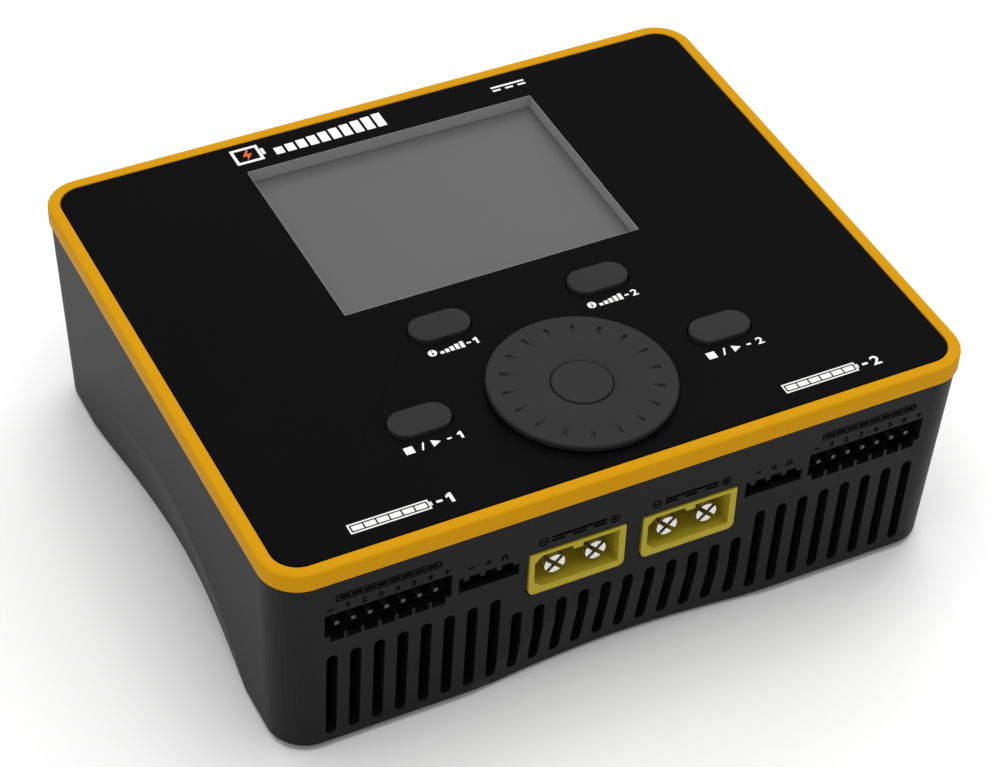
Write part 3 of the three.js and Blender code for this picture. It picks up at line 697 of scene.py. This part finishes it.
def batteryGlyph(cells, cellWidth=0.55, line=0.12):
    # outlined case with its pole at the right and a row of cells inside
    inner = cells * (cellWidth + line) + line
    wide = inner + 2 * line
    outlines = [bar(0, 0, wide, 1), bar(line, line, inner, 1 - 2 * line), bar(wide + 0.04, 0.3, 0.14, 0.4)]
    for cell in range(cells):
        outlines.append(bar(2 * line + cell * (cellWidth + line), 2 * line, cellWidth, 1 - 4 * line))
    return outlines


def directGlyph(wide=3.0, line=0.2):
    # direct current: one long line over three short ones
    part = wide / 4.2
    return [bar(0, 0.62, wide, line)] + [bar(k * part * 1.6, 0.2, part, line) for k in range(3)]


def levelGlyph(count, wide, gap, lowest=0.4):
    # level bars rising to full height
    return [bar(k * (wide + gap), 0, wide, lowest + (1 - lowest) * k / (count - 1)) for k in range(count)]


def poleGlyph(plus):
    outlines = [circle(0.5, 0.5, 0.5), circle(0.5, 0.5, 0.37), bar(0.24, 0.42, 0.52, 0.16)]
    if plus:
        outlines[2] = plusOutline(0.5, 0.5, 0.27, 0.08)
    return outlines


def plusOutline(x, y, reach, half):
    # one arm's three corners, turned four times by a quarter
    corners = np.array([(-half, -half), (-half, -reach), (half, -reach)])
    quarter = np.array([(0, 1), (-1, 0)])
    arms = [corners @ np.linalg.matrix_power(quarter, turn) for turn in range(4)]
    return np.concatenate(arms) + (x, y)


glyphs = {
    "dash": [bar(0, 0.36, 0.5, 0.22)],
    "stop": [bar(0, 0, 1, 1)],
    "start": [np.array([(0, 0), (0.95, 0.5), (0, 1)])],
    "slash": [np.array([(0, 0), (0.2, 0), (0.62, 1), (0.42, 1)])],
    "info": [circle(0.5, 0.5, 0.5), circle(0.5, 0.78, 0.1, 16), bar(0.4, 0.16, 0.2, 0.44)],
    "levels": levelGlyph(5, 0.44, 0.18),
    "battery": batteryGlyph(6, 0.9, 0.13),
    "longBattery": batteryGlyph(8, 1.2, 0.15),
    "minus": [bar(0, 0.4, 0.9, 0.22)],
    "plus": [plusOutline(0.45, 0.5, 0.45, 0.11)],
    "wave": [np.array([(0, 0), (0.45, 0), (0.45, 0.7), (0.75, 0.7), (0.75, 0), (1.2, 0), (1.2, 0.22),
                       (0.97, 0.22), (0.97, 0.92), (0.23, 0.92), (0.23, 0.22), (0, 0.22)])],
    "direct": directGlyph(),
    "longDirect": directGlyph(5.4, 0.28),
    "one": [np.array([(0.24, 0), (0.52, 0), (0.52, 1), (0.32, 1), (0, 0.78), (0, 0.55), (0.24, 0.68)])],
    "minusPole": poleGlyph(False),
    "plusPole": poleGlyph(True),
    "bolt": [np.array([(0.55, 1), (0.1, 0.42), (0.42, 0.42), (0.3, 0), (0.8, 0.6), (0.48, 0.6), (0.66, 1)])],
    "caseFrame": [bar(0, 0, 1.2, 1), bar(0.13, 0.13, 0.94, 0.74), bar(1.23, 0.3, 0.13, 0.4)],
    "cells": levelGlyph(10, 0.43, 0.14, 0.5),
}


def flatMesh(curve):
    # flat curve or text turned into a mesh
    holder = bpy.data.objects.new("flat", curve)
    bpy.context.scene.collection.objects.link(holder)
    mesh = bpy.data.meshes.new_from_object(holder.evaluated_get(bpy.context.evaluated_depsgraph_get()))
    bpy.data.objects.remove(holder)
    bpy.data.curves.remove(curve)
    return mesh


digitStyle = {"size": 1.4, "thicken": 0.03, "widen": 1.15}


def glyphMesh(glyph):
    # a plate one unit high and one unit thick, from its left edge to the right
    if glyph.isdigit():
        curve = bpy.data.curves.new("digit", "FONT")
        curve.body = glyph
        curve.size = digitStyle["size"]
        curve.offset = digitStyle["thicken"]
    else:
        curve = bpy.data.curves.new("glyph", "CURVE")
        curve.dimensions = "2D"
        curve.fill_mode = "BOTH"
        for outline in glyphs[glyph]:
            spline = curve.splines.new("POLY")
            spline.points.add(len(outline) - 1)
            flat = np.column_stack([outline, np.zeros(len(outline)), np.ones(len(outline))])
            spline.points.foreach_set("co", flat.ravel())
            spline.use_cyclic_u = True
    curve.extrude = 0.5
    mesh = flatMesh(curve)
    points = meshPoints(mesh)
    points[:, 0] -= points[:, 0].min()
    if glyph.isdigit():
        points[:, 0] *= digitStyle["widen"]
        points[:, 1] = (points[:, 1] - points[:, 1].min()) / np.ptp(points[:, 1])
    return mesh, points


def onPanel(u, v, w, middle):
    return np.column_stack([middle[0] + u, middle[1] + v, panelTop + w])


front = {"inset": 0.15 * mm, "draft": 0.0358}


def onFront(u, v, w, middle):
    # the front wall leans in towards its foot, from an inset behind the rim
    height = middle[1] + v
    face = rimLow[1] + front["inset"] + front["draft"] * (panelTop - height)
    return np.column_stack([middle[0] + u, face - w, height])


def addMark(name, row, middle, high, place, material, gap=0.3, pitch=0, proud=0.03 * mm):
    # glyphs in a centred row, a gap apart (or each centred on its own pitch), wrapped onto a surface
    thick = 3 * proud
    parts = [glyphMesh(glyph) for glyph in row]
    widths = [np.ptp(points[:, 0]) * high for _, points in parts]
    start = -(sum(widths) + gap * high * (len(row) - 1)) / 2
    for index, ((mesh, points), width) in enumerate(zip(parts, widths)):
        if pitch:
            start = (index - (len(row) - 1) / 2) * pitch - width / 2
        u = start + points[:, 0] * high
        v = (points[:, 1] - 0.5) * high
        w = proud - thick * (0.5 - points[:, 2])
        mesh.vertices.foreach_set("co", place(u, v, w, middle).ravel())
        closeSeams(mesh)
        start += width + gap * high
    mesh = joinMeshes(name, [mesh for mesh, _ in parts])
    addPiece(name, mesh, material, "root", smooth=30)


panelMarks = {
    "status": {"x": 13.1 * mm, "y": -12.6 * mm, "high": 1.35 * mm, "gap": 0.32},
    "run": {"x": 24.3 * mm, "y": -29.6 * mm, "high": 1.4 * mm, "gap": 0.7},
    "channel": {"x": 34.3 * mm, "y": -40.25 * mm, "high": 1.85 * mm, "gap": 0.35},
}
for side, sign in sides.items():
    digit = "one" if side == "left" else "2"
    rows = {"status": ["info", "levels", "dash", digit], "run": ["stop", "slash", "start", "dash", digit],
            "channel": ["battery", "dash", digit]}
    for label, row in rows.items():
        spot = panelMarks[label]
        place = (sign * spot["x"], spot["y"])
        addMark(f"{label}Mark.{side}", row, place, spot["high"], onPanel, printWhite, spot["gap"])

strip = {
    "emblemCase": {"glyph": "caseFrame", "place": (-22.6 * mm, 40.8 * mm), "high": 3.8 * mm},
    "emblemBolt": {"glyph": "bolt", "place": (-22.85 * mm, 40.8 * mm), "high": 2.5 * mm},
    "emblemCells": {"glyph": "cells", "place": (-9.1 * mm, 40.8 * mm), "high": 3.4 * mm},
    "supplyMark": {"glyph": "direct", "place": (22.4 * mm, 40.6 * mm), "high": 1.95 * mm},
}
for name, spot in strip.items():
    ink = printOrange if name == "emblemBolt" else printWhite
    addMark(name, [spot["glyph"]], spot["place"], spot["high"], onPanel, ink)

# marks over the ports: drop is measured from the panel's face, shift from the port's middle
portMarks = {
    "balanceMark": {"port": "balance_header", "row": ["longBattery"], "drop": 6.5 * mm, "high": 1.4 * mm},
    "cellMarks": {"port": "balance_header", "row": ["minus", "one", "2", "3", "4", "5", "6", "plus"],
                  "drop": 8.5 * mm, "high": 1.05 * mm, "pitch": 2.5 * mm},
    "sensorMarks": {"port": "sensor_header", "row": ["minus", "plus", "wave"], "drop": 9.45 * mm,
                    "high": 1.1 * mm, "pitch": 2.54 * mm, "shift": -0.3 * mm},
    "outputMarks": {"port": "output_socket", "row": ["minusPole", "longDirect", "plusPole"],
                    "drop": 9.04 * mm, "high": 1.6 * mm, "gap": 0.32},
}
for side in sides:
    for name, spot in portMarks.items():
        x = nodeMiddle(f"{spot['port']}_{side}")[0] + spot.get("shift", 0)
        addMark(f"{name}.{side}", spot["row"], (x, panelTop - spot["drop"]), spot["high"], onFront, markDark,
                spot.get("gap", 0.3), spot.get("pitch", 0))
print("marks ready")
